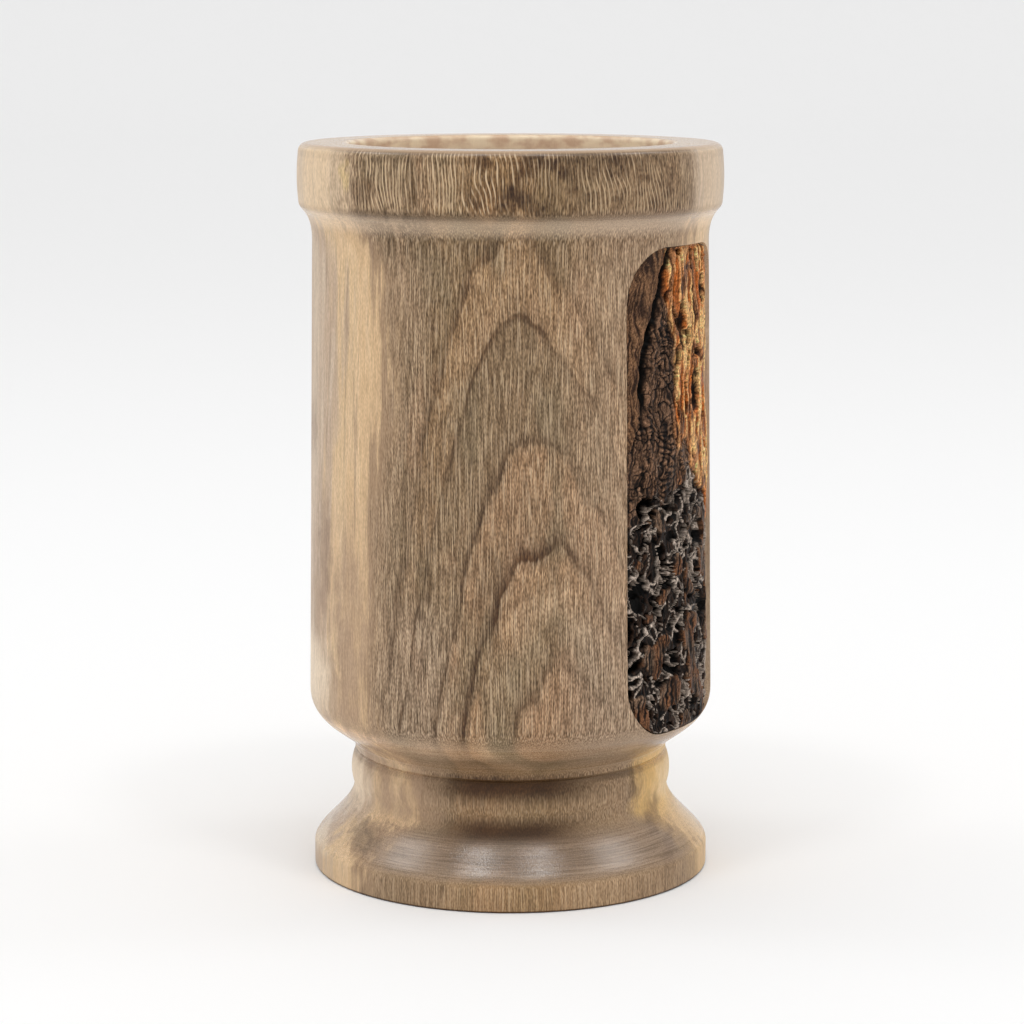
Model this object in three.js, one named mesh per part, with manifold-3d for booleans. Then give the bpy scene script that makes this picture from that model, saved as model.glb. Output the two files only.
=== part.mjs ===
// A turned wooden goblet: a cup with a banded rim, glued over a spigot on a spreading foot,
// with a relief panel let into a pocket in its wall.
// Sizes are in millimetres. The goblet stands on z = 0, turns about z, and its panel faces -y.
import * as THREE from "three";
import { mergeVertices } from "three/addons/utils/BufferGeometryUtils.js";
import Module from "manifold-3d";

// Overall sizes and the gap that glued pieces keep
const totalHeight = 160;
const footHeight = 26.2;
const seatRadius = 34.6;
const jointBevel = 0.4;
const glueGap = 0.3;

// Cup, outside
const undersideRise = 13.8;
const undersideHollow = 4.3;
const shoulderRounding = 8.2;
const bellyRadius = 44.5;
const wallTopRadius = 43.1;
const rimHeight = 12.4;
const rimCoveHeight = 8.6;
const rimCoveHollow = 6.8;
const rimLowerRounding = 2.4;
const rimEdgeRadius = 46;
const rimSwell = 0.55;
const rimRounding = 2.3;

// Cup, inside
const mouthRadius = 35.2;
const boreBottomRadius = 34.6;
const lipRounding = 1.3;
const floorThickness = 5.4;
const floorRounding = 6;

// Foot
const baseRadius = 43.8;
const baseEdgeHeight = 5;
const baseEdgeRounding = 0.6;
const bellRounding = 2.85;
const bellHollow = 5.4;
const waistRadius = 34.9;
const waistHeight = 18.2;
const beadSwell = 1.3;
const hollowRadius = 33;
const hollowDepth = 1;
const hollowSlope = 1.5;

// Spigot on the foot and its mortise in the cup
const spigotRadius = 20;
const spigotLength = 6;
const spigotBevel = 0.8;

// Relief panel
const panelWidth = 39.1;
const panelHeight = 103.5;
const panelBottom = 35.5;
const panelCornerRadius = 11.6;
const panelThickness = 2.8;
const panelRecess = 1.2;
const pocketReach = 3;
const rootHeight = 0.8;
const rootBorder = 2.2;

// Roots carved along the panel, as shares of its width: where each starts from the middle,
// how far it leans and sways, and its own width. A wave is a share of the panel's height.
const roots = [
  { start: -0.39, lean: 0.14, sway: 0.045, wave: 0.51, turn: 2.6, width: 0.066 },
  { start: -0.19, lean: 0.08, sway: 0.086, wave: 0.65, turn: 1.0, width: 0.078 },
  { start: 0.04, lean: -0.18, sway: 0.066, wave: 0.42, turn: 0.6, width: 0.061 },
  { start: 0.20, lean: 0.05, sway: 0.076, wave: 0.57, turn: 2.8, width: 0.083 },
  { start: 0.40, lean: -0.09, sway: 0.056, wave: 0.48, turn: 1.1, width: 0.068 },
];

// Round pits in rows over the panel's lower part. Each row is moved by half a spacing from the one under it,
// and the pits wander from their places and differ in size.
const pitSpacing = 10.5;
const pitRise = 8.2;
const pitRadius = 2.5;
const pitDepth = 1.9;
const pitWander = 2.1;
const pittedShare = 0.55;

// Long hollows in the upper part: place, half width and half height as shares of the panel's width and height
const longHollowDepth = 1.6;
const longHollows = [
  { across: -0.02, up: 0.84, width: 0.055, height: 0.055 },
  { across: 0.15, up: 0.70, width: 0.050, height: 0.050 },
  { across: 0.27, up: 0.90, width: 0.045, height: 0.045 },
];

// The groove beside the plain strip at the upper left, as shares of the panel's width and height
const grooveDepth = 1.6;
const grooveWidth = 1.15;
const grooveStart = -0.39;
const grooveBend = 0.25;
const grooveFoot = 0.62;

// How finely round and curved stretches are divided
const turningSteps = 64;
const longCurveSteps = 8;
const shortCurveSteps = 4;
const panelColumns = 26;
const panelRows = 52;
const panelCornerRows = 5;
const pocketColumns = 10;
const pocketRows = 4;

const shoulderHeight = footHeight + undersideRise;
const rimBottom = totalHeight - rimHeight;
const coveBottom = rimBottom - rimCoveHeight;
const mortiseTop = footHeight + spigotLength + glueGap;
const floorHeight = mortiseTop + floorThickness;

const wasm = await Module();
wasm.setup();

const at = (radius, height) => new THREE.Vector2(radius, height);

// A curve that leaves and arrives upright, as an ogee or a swelling does.
function uprightCurve(from, leave, arrive, to) {
  const curve = new THREE.CubicBezierCurve(from, at(from.x, from.y + leave), at(to.x, to.y - arrive), to);
  return curve.getPoints(longCurveSteps);
}

function roundedCorner(from, corner, to) {
  return new THREE.QuadraticBezierCurve(from, corner, to).getPoints(shortCurveSteps);
}

function cupOutline() {
  const mortiseRadius = spigotRadius + glueGap;
  const rimShoulder = at(rimEdgeRadius, totalHeight - rimRounding);
  return [
    at(0, mortiseTop),
    at(mortiseRadius, mortiseTop),
    at(mortiseRadius, footHeight),
    at(seatRadius - jointBevel, footHeight),
    ...uprightCurve(
      at(seatRadius, footHeight + jointBevel),
      undersideHollow,
      shoulderRounding,
      at(bellyRadius, shoulderHeight),
    ),
    ...uprightCurve(
      at(wallTopRadius, coveBottom),
      rimCoveHollow,
      rimLowerRounding,
      at(rimEdgeRadius, rimBottom),
    ),
    ...roundedCorner(
      at(rimEdgeRadius, rimBottom),
      at(rimEdgeRadius + rimSwell, (rimBottom + rimShoulder.y) / 2),
      rimShoulder,
    ).slice(1),
    ...roundedCorner(
      rimShoulder,
      at(rimEdgeRadius, totalHeight),
      at(rimEdgeRadius - rimRounding, totalHeight),
    ).slice(1),
    ...roundedCorner(
      at(mouthRadius + lipRounding, totalHeight),
      at(mouthRadius, totalHeight),
      at(mouthRadius, totalHeight - lipRounding),
    ),
    ...roundedCorner(
      at(boreBottomRadius, floorHeight + floorRounding),
      at(boreBottomRadius, floorHeight),
      at(boreBottomRadius - floorRounding, floorHeight),
    ),
    at(0, floorHeight),
  ];
}

function footOutline() {
  const bead = (waistHeight + footHeight) / 2;
  return [
    at(0, hollowDepth),
    at(hollowRadius, hollowDepth),
    at(hollowRadius + hollowSlope, 0),
    ...roundedCorner(
      at(baseRadius - baseEdgeRounding, 0),
      at(baseRadius, 0),
      at(baseRadius, baseEdgeRounding),
    ),
    ...uprightCurve(
      at(baseRadius, baseEdgeHeight),
      bellRounding,
      bellHollow,
      at(waistRadius, waistHeight),
    ),
    ...roundedCorner(
      at(waistRadius, waistHeight),
      at(waistRadius + beadSwell, bead),
      at(seatRadius, footHeight - jointBevel),
    ).slice(1),
    at(seatRadius - jointBevel, footHeight),
    at(spigotRadius, footHeight),
    at(spigotRadius, footHeight + spigotLength - spigotBevel),
    at(spigotRadius - spigotBevel, footHeight + spigotLength),
    at(0, footHeight + spigotLength),
  ];
}

function turned(outline) {
  return new THREE.LatheGeometry(outline, turningSteps).rotateX(Math.PI / 2);
}

// The wall's radius along the straight stretch between shoulder and rim cove.
function wallRadius(height) {
  const share = (height - shoulderHeight) / (coveBottom - shoulderHeight);
  return bellyRadius + (wallTopRadius - bellyRadius) * share;
}

// Heights of the rows of a rounded rectangle, closer together along its round corners.
function roundedRows(bottom, height, corner, cornerRows, straightRows) {
  const rows = [];
  for (let i = 0; i <= cornerRows; i++) {
    rows.push(bottom + corner * (1 - Math.cos((i / cornerRows) * (Math.PI / 2))));
  }
  for (let i = 1; i < straightRows; i++) {
    rows.push(bottom + corner + (height - 2 * corner) * (i / straightRows));
  }
  for (let i = cornerRows; i >= 0; i--) {
    rows.push(bottom + height - corner * (1 - Math.cos((i / cornerRows) * (Math.PI / 2))));
  }
  return rows;
}

// A closed slab bent round the cup: a rounded rectangle between two radii, grown by a margin on every side.
function bentSlab(margin, columns, straightRows, innerRadius, outerRadius) {
  const corner = panelCornerRadius + margin;
  const bottom = panelBottom - margin;
  const height = panelHeight + 2 * margin;
  const halfWidth = panelWidth / 2 + margin;
  const rows = roundedRows(bottom, height, corner, panelCornerRows, straightRows);
  const positions = [];
  const index = [];
  const place = (across, up, radius) => {
    const angle = across / (bellyRadius - panelRecess);
    positions.push(radius * Math.sin(angle), -radius * Math.cos(angle), up);
  };
  for (const layerRadius of [innerRadius, outerRadius]) {
    for (const up of rows) {
      const nearestEnd = Math.min(up - bottom, bottom + height - up);
      const intoCorner = Math.max(0, corner - nearestEnd);
      const narrowed = corner - Math.sqrt(corner ** 2 - intoCorner ** 2);
      for (let i = 0; i <= columns; i++) {
        const across = (halfWidth - narrowed) * ((2 * i) / columns - 1);
        place(across, up, layerRadius(across, up));
      }
    }
  }
  const stride = columns + 1;
  const layer = stride * rows.length;
  const quad = (a, b, c, d) => index.push(a, b, c, a, c, d);
  for (let row = 0; row < rows.length - 1; row++) {
    for (let i = 0; i < columns; i++) {
      const low = row * stride + i;
      const high = low + stride;
      quad(low, high, high + 1, low + 1);
      quad(low + layer, low + layer + 1, high + layer + 1, high + layer);
    }
    const left = row * stride;
    const right = left + columns;
    quad(left, left + layer, left + stride + layer, left + stride);
    quad(right, right + stride, right + stride + layer, right + layer);
  }
  const topRow = (rows.length - 1) * stride;
  for (let i = 0; i < columns; i++) {
    quad(i, i + 1, i + 1 + layer, i + layer);
    quad(topRow + i, topRow + i + layer, topRow + i + 1 + layer, topRow + i + 1);
  }
  const geometry = new THREE.BufferGeometry();
  geometry.setAttribute("position", new THREE.Float32BufferAttribute(positions, 3));
  geometry.setIndex(index);
  return geometry;
}

// A smooth bowl, from 1 in its middle to 0 at a distance of 1.
const bowl = (distance) => Math.max(0, 1 - distance ** 2) ** 0.5;

// How far the roots stand up at a place on the panel, from 0 to 1.
function rootRelief(across, share) {
  let relief = 0;
  for (const root of roots) {
    const centre = root.start + root.lean * share
      + root.sway * Math.sin((2 * Math.PI * share) / root.wave + root.turn);
    relief = Math.max(relief, Math.exp(-(((across / panelWidth - centre) / root.width) ** 2)));
  }
  return relief;
}

// How deep a place lies in a pit, from 0 to 1.
function pitRelief(across, up) {
  const columns = Math.ceil(panelWidth / 2 / pitSpacing);
  let deepest = 0;
  for (let row = 0; (row + 1) * pitRise < pittedShare * panelHeight; row++) {
    for (let i = -columns; i <= columns; i++) {
      const x = (i + (row % 2) / 2) * pitSpacing + pitWander * Math.sin(2.3 * row + 1.9 * i);
      const z = panelBottom + (row + 1) * pitRise + pitWander * Math.sin(1.7 * row + 2.6 * i);
      const radius = pitRadius * (1 + 0.3 * Math.sin(3.1 * row + 1.3 * i));
      deepest = Math.max(deepest, bowl(Math.hypot(across - x, up - z) / radius));
    }
  }
  return deepest;
}

// How deep a place lies in a long hollow, from 0 to 1.
function longHollowRelief(across, share) {
  const depths = longHollows.map((hollow) => bowl(Math.hypot(
    (across / panelWidth - hollow.across) / hollow.width,
    (share - hollow.up) / hollow.height,
  )));
  return Math.max(...depths);
}

// How deep a place lies in the groove, from 0 to 1. The groove bends away from the left edge as it rises.
function grooveRelief(across, share) {
  const rise = (share - grooveFoot) / (1 - grooveFoot);
  if (rise < 0) return 0;
  const middle = panelWidth * (grooveStart + grooveBend * rise ** 2);
  return Math.exp(-(((across - middle) / grooveWidth) ** 2)) * Math.min(1, 4 * rise);
}

// The carving's height at a place on the panel.
function carving(across, up) {
  const share = (up - panelBottom) / panelHeight;
  const fromSide = panelWidth / 2 - Math.abs(across);
  const fromEnd = Math.min(up - panelBottom, panelBottom + panelHeight - up);
  const depth = Math.max(
    pitDepth * pitRelief(across, up),
    longHollowDepth * longHollowRelief(across, share),
    grooveDepth * grooveRelief(across, share),
  );
  const height = rootHeight * rootRelief(across, share) * (1 - Math.min(1, depth)) - depth;
  return height * Math.min(1, Math.max(0, Math.min(fromSide, fromEnd)) / rootBorder);
}

function toSolid(geometry) {
  const bare = geometry.clone();
  bare.deleteAttribute("normal");
  bare.deleteAttribute("uv");
  const merged = mergeVertices(bare);
  const corners = merged.index.array;
  const kept = [];
  for (let i = 0; i < corners.length; i += 3) {
    const [a, b, c] = [corners[i], corners[i + 1], corners[i + 2]];
    if (a !== b && b !== c && c !== a) kept.push(a, b, c);
  }
  return new wasm.Manifold(new wasm.Mesh({
    numProp: 3,
    vertProperties: new Float32Array(merged.attributes.position.array),
    triVerts: new Uint32Array(kept),
  }));
}

function toGeometry(solid) {
  const mesh = solid.getMesh();
  const geometry = new THREE.BufferGeometry();
  geometry.setAttribute("position", new THREE.BufferAttribute(mesh.vertProperties, 3));
  geometry.setIndex(new THREE.BufferAttribute(mesh.triVerts, 1));
  geometry.computeVertexNormals();
  return geometry;
}

function cupGeometry() {
  const pocketFloor = (across, up) => wallRadius(up) - panelRecess - panelThickness - glueGap;
  const outsideWall = (across, up) => wallRadius(up) + pocketReach;
  const pocket = bentSlab(glueGap, pocketColumns, pocketRows, pocketFloor, outsideWall);
  return toGeometry(toSolid(turned(cupOutline())).subtract(toSolid(pocket)));
}

function reliefPanelGeometry() {
  const back = (across, up) => wallRadius(up) - panelRecess - panelThickness;
  const front = (across, up) => wallRadius(up) - panelRecess + carving(across, up);
  return bentSlab(0, panelColumns, panelRows, back, front);
}

function piece(name, geometry, colour, roughness) {
  geometry.computeVertexNormals();
  const material = new THREE.MeshStandardMaterial({ color: colour, roughness, metalness: 0 });
  const mesh = new THREE.Mesh(geometry, material);
  mesh.name = name;
  return mesh;
}

const goblet = new THREE.Group();
goblet.add(piece("cup", cupGeometry(), 0xa08a70, 0.5));
goblet.add(piece("foot", turned(footOutline()), 0x9a8058, 0.45));
goblet.add(piece("relief_panel", reliefPanelGeometry(), 0x4a3222, 0.6));

export default goblet;
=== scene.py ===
import math
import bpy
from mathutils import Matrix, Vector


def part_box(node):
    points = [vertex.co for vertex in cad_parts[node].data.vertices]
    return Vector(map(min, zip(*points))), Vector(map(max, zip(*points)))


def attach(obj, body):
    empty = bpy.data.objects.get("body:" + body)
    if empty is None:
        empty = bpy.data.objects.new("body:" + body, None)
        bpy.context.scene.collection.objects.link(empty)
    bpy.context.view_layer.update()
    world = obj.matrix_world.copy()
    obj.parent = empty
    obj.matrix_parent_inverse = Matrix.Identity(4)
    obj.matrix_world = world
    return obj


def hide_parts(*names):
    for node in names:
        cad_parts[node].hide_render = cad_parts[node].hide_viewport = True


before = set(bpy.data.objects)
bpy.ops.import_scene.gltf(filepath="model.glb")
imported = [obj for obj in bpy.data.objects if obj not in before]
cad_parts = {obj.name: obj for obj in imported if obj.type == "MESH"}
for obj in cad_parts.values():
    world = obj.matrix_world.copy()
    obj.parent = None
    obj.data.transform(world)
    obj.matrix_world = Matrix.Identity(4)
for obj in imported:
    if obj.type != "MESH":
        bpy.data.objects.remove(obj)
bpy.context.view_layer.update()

from types import SimpleNamespace

import bpy
import numpy as np
from mathutils import Vector

# Lengths are in metres. The goblet stands on z = 0, turns about z, and its panel faces -y.
MM = 0.001

# The camera: where it stands round the goblet, and its lens
CAMERA_AZIMUTH = math.radians(-60)
CAMERA_DISTANCE = 663.9 * MM
CAMERA_HEIGHT = 188.8 * MM
CAMERA_PITCH = math.radians(9.42)
CAMERA_LENS = 107.1
CAMERA_SHIFT = 0.0015
CAMERA_SENSOR = 36
NEAREST_SEEN = 0.01
FURTHEST_SEEN = 50

# The turned outline, as the solids have it
TOTAL_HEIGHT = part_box("cup")[1].z
FOOT_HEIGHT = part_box("cup")[0].z
BASE_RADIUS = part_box("foot")[1].x
SEAT_RADIUS = 34.6 * MM
JOINT_BEVEL = 0.4 * MM
GLUE_GAP = 0.3 * MM
UNDERSIDE_RISE = 13.8 * MM
UNDERSIDE_HOLLOW = 4.3 * MM
SHOULDER_ROUNDING = 8.2 * MM
BELLY_RADIUS = 44.5 * MM
WALL_TOP_RADIUS = 43.1 * MM
RIM_HEIGHT = 12.4 * MM
RIM_COVE_HEIGHT = 8.6 * MM
RIM_COVE_HOLLOW = 6.8 * MM
RIM_LOWER_ROUNDING = 2.4 * MM
RIM_EDGE_RADIUS = 46 * MM
RIM_SWELL = 0.55 * MM
RIM_ROUNDING = 2.3 * MM
MOUTH_RADIUS = 35.2 * MM
BORE_BOTTOM_RADIUS = 34.6 * MM
LIP_ROUNDING = 1.3 * MM
FLOOR_THICKNESS = 5.4 * MM
FLOOR_ROUNDING = 6 * MM
BASE_EDGE_HEIGHT = 5 * MM
BASE_EDGE_ROUNDING = 0.6 * MM
BELL_ROUNDING = 2.85 * MM
BELL_HOLLOW = 5.4 * MM
WAIST_RADIUS = 34.9 * MM
WAIST_HEIGHT = 18.2 * MM
BEAD_SWELL = 1.3 * MM
HOLLOW_RADIUS = 33 * MM
HOLLOW_DEPTH = 1 * MM
HOLLOW_SLOPE = 1.5 * MM
SPIGOT_RADIUS = 20 * MM
SPIGOT_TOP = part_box("foot")[1].z
SPIGOT_BEVEL = 0.8 * MM

# The relief panel
PANEL_WIDTH = 39.1 * MM
PANEL_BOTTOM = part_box("relief_panel")[0].z
PANEL_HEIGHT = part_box("relief_panel")[1].z - PANEL_BOTTOM
PANEL_CORNER_RADIUS = 11.6 * MM
PANEL_THICKNESS = 2.8 * MM
PANEL_RECESS = 1.2 * MM
POCKET_REACH = 3 * MM

# How finely the surfaces are divided, and the angles in degrees from which an edge stays sharp
TURNING_STEPS = 320
LONG_CURVE_STEPS = 28
SHORT_CURVE_STEPS = 10
WALL_STEPS = 60
RELIEF_COLUMNS = 180
RELIEF_ROWS = 440
BACK_COLUMNS = 12
POCKET_COLUMNS = 48
POCKET_ROWS = 120
SHARP_ANGLE = 35
RELIEF_SHARP_ANGLE = 60
SAME_POINT = 1e-7

SHOULDER_HEIGHT = FOOT_HEIGHT + UNDERSIDE_RISE
RIM_BOTTOM = TOTAL_HEIGHT - RIM_HEIGHT
COVE_BOTTOM = RIM_BOTTOM - RIM_COVE_HEIGHT
MORTISE_TOP = SPIGOT_TOP + GLUE_GAP
FLOOR_HEIGHT = MORTISE_TOP + FLOOR_THICKNESS


def bezier(points, steps):
    """Points along a Bezier curve of any order."""
    t = np.linspace(0, 1, steps + 1)[:, None]
    level = [np.array(p, float) * np.ones_like(t) for p in points]
    while len(level) > 1:
        level = [a * (1 - t) + b * t for a, b in zip(level, level[1:])]
    return [tuple(p) for p in level[0]]


def upright_curve(start, leave, arrive, end):
    """A curve that leaves and arrives upright, as an ogee or a swelling does."""
    points = [start, (start[0], start[1] + leave), (end[0], end[1] - arrive), end]
    return bezier(points, LONG_CURVE_STEPS)


def rounded_corner(start, corner, end):
    return bezier([start, corner, end], SHORT_CURVE_STEPS)


def straight(start, end, steps):
    return bezier([start, end], steps)


def cup_outline():
    mortise_radius = SPIGOT_RADIUS + GLUE_GAP
    rim_middle = (RIM_BOTTOM + TOTAL_HEIGHT - RIM_ROUNDING) / 2
    seat_edge = (SEAT_RADIUS, FOOT_HEIGHT + JOINT_BEVEL)
    shoulder = (BELLY_RADIUS, SHOULDER_HEIGHT)
    wall_top = (WALL_TOP_RADIUS, COVE_BOTTOM)
    rim_low = (RIM_EDGE_RADIUS, RIM_BOTTOM)
    rim_high = (RIM_EDGE_RADIUS, TOTAL_HEIGHT - RIM_ROUNDING)
    land_outer = (RIM_EDGE_RADIUS - RIM_ROUNDING, TOTAL_HEIGHT)
    land_inner = (MOUTH_RADIUS + LIP_ROUNDING, TOTAL_HEIGHT)
    lip = (MOUTH_RADIUS, TOTAL_HEIGHT - LIP_ROUNDING)
    bore_low = (BORE_BOTTOM_RADIUS, FLOOR_HEIGHT + FLOOR_ROUNDING)
    floor_edge = (BORE_BOTTOM_RADIUS - FLOOR_ROUNDING, FLOOR_HEIGHT)
    stretches = [
        straight((0, MORTISE_TOP), (mortise_radius, MORTISE_TOP), 4),
        straight((mortise_radius, MORTISE_TOP), (mortise_radius, FOOT_HEIGHT), 2),
        straight((mortise_radius, FOOT_HEIGHT), (SEAT_RADIUS - JOINT_BEVEL, FOOT_HEIGHT), 4),
        upright_curve(seat_edge, UNDERSIDE_HOLLOW, SHOULDER_ROUNDING, shoulder),
        straight(shoulder, wall_top, WALL_STEPS),
        upright_curve(wall_top, RIM_COVE_HOLLOW, RIM_LOWER_ROUNDING, rim_low),
        rounded_corner(rim_low, (RIM_EDGE_RADIUS + RIM_SWELL, rim_middle), rim_high),
        rounded_corner(rim_high, (RIM_EDGE_RADIUS, TOTAL_HEIGHT), land_outer),
        straight(land_outer, land_inner, 6),
        rounded_corner(land_inner, (MOUTH_RADIUS, TOTAL_HEIGHT), lip),
        straight(lip, bore_low, WALL_STEPS),
        rounded_corner(bore_low, (BORE_BOTTOM_RADIUS, FLOOR_HEIGHT), floor_edge),
        straight(floor_edge, (0, FLOOR_HEIGHT), 8),
    ]
    return joined(stretches)


def foot_outline():
    base_low = (BASE_RADIUS - BASE_EDGE_ROUNDING, 0)
    base_high = (BASE_RADIUS, BASE_EDGE_ROUNDING)
    waist = (WAIST_RADIUS, WAIST_HEIGHT)
    bead_swell = (WAIST_RADIUS + BEAD_SWELL, (WAIST_HEIGHT + FOOT_HEIGHT) / 2)
    seat_edge = (SEAT_RADIUS, FOOT_HEIGHT - JOINT_BEVEL)
    stretches = [
        straight((0, HOLLOW_DEPTH), (HOLLOW_RADIUS, HOLLOW_DEPTH), 8),
        straight((HOLLOW_RADIUS, HOLLOW_DEPTH), (HOLLOW_RADIUS + HOLLOW_SLOPE, 0), 3),
        rounded_corner(base_low, (BASE_RADIUS, 0), base_high),
        upright_curve((BASE_RADIUS, BASE_EDGE_HEIGHT), BELL_ROUNDING, BELL_HOLLOW, waist),
        rounded_corner(waist, bead_swell, seat_edge),
        straight((SEAT_RADIUS - JOINT_BEVEL, FOOT_HEIGHT), (SPIGOT_RADIUS, FOOT_HEIGHT), 4),
        straight((SPIGOT_RADIUS, FOOT_HEIGHT), (SPIGOT_RADIUS, SPIGOT_TOP - SPIGOT_BEVEL), 2),
        straight((SPIGOT_RADIUS - SPIGOT_BEVEL, SPIGOT_TOP), (0, SPIGOT_TOP), 4),
    ]
    return joined(stretches)


def joined(stretches):
    """One outline from several stretches, without the points that two of them share."""
    outline = []
    for stretch in stretches:
        for point in stretch:
            if not outline or math.dist(point, outline[-1]) > SAME_POINT:
                outline.append(point)
    return outline


def mesh_object(name, vertices, faces):
    mesh = bpy.data.meshes.new(name)
    mesh.from_pydata([tuple(v) for v in vertices], [], faces)
    mesh.validate()
    mesh.update()
    piece = bpy.data.objects.new(name, mesh)
    bpy.context.scene.collection.objects.link(piece)
    return piece


def smooth(piece, sharp_angle):
    piece.data.shade_smooth()
    piece.data.set_sharp_from_angle(angle=math.radians(sharp_angle))


def turned(name, outline):
    """A closed solid of revolution from an outline that starts and ends on the axis."""
    inner = outline[1:-1]
    angles = np.linspace(0, 2 * math.pi, TURNING_STEPS, endpoint=False)
    vertices = [(r * math.cos(a), r * math.sin(a), z) for r, z in inner for a in angles]
    first = len(vertices)
    vertices += [(0, 0, outline[0][1]), (0, 0, outline[-1][1])]
    faces = []
    for row in range(len(inner) - 1):
        low = row * TURNING_STEPS
        high = low + TURNING_STEPS
        for i in range(TURNING_STEPS):
            j = (i + 1) % TURNING_STEPS
            faces.append((low + i, low + j, high + j, high + i))
    last = (len(inner) - 1) * TURNING_STEPS
    for i in range(TURNING_STEPS):
        j = (i + 1) % TURNING_STEPS
        faces.append((first, j, i))
        faces.append((first + 1, last + i, last + j))
    piece = mesh_object(name, vertices, faces)
    smooth(piece, SHARP_ANGLE)
    return piece


def wall_radius(height):
    """The cup's radius along the straight stretch between shoulder and rim cove."""
    share = (height - SHOULDER_HEIGHT) / (COVE_BOTTOM - SHOULDER_HEIGHT)
    return BELLY_RADIUS + (WALL_TOP_RADIUS - BELLY_RADIUS) * share


def rounded_grid(margin, columns, rows):
    """Places across and up a rounded rectangle as big as the panel and a margin more."""
    corner = PANEL_CORNER_RADIUS + margin
    bottom = PANEL_BOTTOM - margin
    top = PANEL_BOTTOM + PANEL_HEIGHT + margin
    half_width = PANEL_WIDTH / 2 + margin
    corner_rows = max(6, round(rows * corner / (top - bottom)))
    bend = 1 - np.cos(np.linspace(0, math.pi / 2, corner_rows + 1))
    middle = np.linspace(bottom + corner, top - corner, rows - 2 * corner_rows + 1)[1:-1]
    heights = np.concatenate([bottom + corner * bend, middle, (top - corner * bend)[::-1]])
    into_corner = np.maximum(0, corner - np.minimum(heights - bottom, top - heights))
    reach = half_width - corner + np.sqrt(np.maximum(corner**2 - into_corner**2, 0))
    across = reach[:, None] * np.linspace(-1, 1, columns + 1)[None, :]
    up = np.repeat(heights[:, None], columns + 1, axis=1)
    return across, up


def bent(across, up, radius):
    """Places on the cup's bend, from places across and up the panel."""
    angle = across / (BELLY_RADIUS - PANEL_RECESS)
    return np.stack([radius * np.sin(angle), -radius * np.cos(angle), up], axis=-1)


def bent_slab(name, across, up, inner_radius, outer_radius, share=1):
    """A closed slab bent round the cup. Its inner side has one column for a share of the outer side's."""
    inner = bent(across, up, inner_radius)[:, ::share]
    outer = bent(across, up, outer_radius)
    vertices = np.concatenate([inner.reshape(-1, 3), outer.reshape(-1, 3)])
    rows, inner_stride = inner.shape[:2]
    stride = outer.shape[1]
    first = rows * inner_stride

    def inside(row, i):
        return row * inner_stride + i

    def outside(row, i):
        return first + row * stride + i

    faces = []
    for row in range(rows - 1):
        for i in range(inner_stride - 1):
            faces.append((inside(row, i), inside(row + 1, i), inside(row + 1, i + 1), inside(row, i + 1)))
        for i in range(stride - 1):
            above = outside(row + 1, i)
            faces.append((outside(row, i), outside(row, i + 1), above + 1, above))
        faces.append((inside(row, 0), outside(row, 0), outside(row + 1, 0), inside(row + 1, 0)))
        inner_end = inside(row, inner_stride - 1)
        outer_end = outside(row, stride - 1)
        faces.append((inner_end, inner_end + inner_stride, outer_end + stride, outer_end))
    for i in range(inner_stride - 1):
        low = [outside(0, j) for j in range(i * share, (i + 1) * share + 1)]
        high = [outside(rows - 1, j) for j in range(i * share, (i + 1) * share + 1)]
        faces.append((inside(0, i), inside(0, i + 1), *low[::-1]))
        faces.append((inside(rows - 1, i + 1), inside(rows - 1, i), *high))
    return mesh_object(name, vertices, faces)


def make_cup():
    cup = turned("cup_turned", cup_outline())
    across, up = rounded_grid(GLUE_GAP, POCKET_COLUMNS, POCKET_ROWS)
    floor = wall_radius(up) - PANEL_RECESS - PANEL_THICKNESS - GLUE_GAP
    cutter = bent_slab("pocket_cutter", across, up, floor, wall_radius(up) + POCKET_REACH)
    cut = cup.modifiers.new("pocket", "BOOLEAN")
    cut.operation = "DIFFERENCE"
    cut.solver = "EXACT"
    cut.object = cutter
    depsgraph = bpy.context.evaluated_depsgraph_get()
    cut_mesh = bpy.data.meshes.new_from_object(cup.evaluated_get(depsgraph))
    cup.modifiers.clear()
    cup.data = cut_mesh
    bpy.data.objects.remove(cutter)
    smooth(cup, SHARP_ANGLE)
    return cup


# After how many units the noise and the cells repeat
NOISE_REPEAT = 256
CELL_REPEAT = 64


def gradient_noise(x, y, seed):
    """Smooth noise from about -1 to 1, with a swing for every unit or so."""
    angle = np.random.default_rng(seed).uniform(0, 2 * math.pi, (NOISE_REPEAT, NOISE_REPEAT))
    xi = np.floor(x).astype(int)
    yi = np.floor(y).astype(int)
    fx = x - xi
    fy = y - yi
    ease_x = fx**3 * (fx * (fx * 6 - 15) + 10)
    ease_y = fy**3 * (fy * (fy * 6 - 15) + 10)

    def corner(i, j):
        turn = angle[(xi + i) % NOISE_REPEAT, (yi + j) % NOISE_REPEAT]
        return np.cos(turn) * (fx - i) + np.sin(turn) * (fy - j)

    low = corner(0, 0) * (1 - ease_x) + corner(1, 0) * ease_x
    high = corner(0, 1) * (1 - ease_x) + corner(1, 1) * ease_x
    return 1.5 * (low * (1 - ease_y) + high * ease_y)


def layered_noise(x, y, seed, layers):
    total = np.zeros_like(x)
    for layer in range(layers):
        total += gradient_noise(x * 2**layer, y * 2**layer, seed + layer) / 2**layer
    return total


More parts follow.
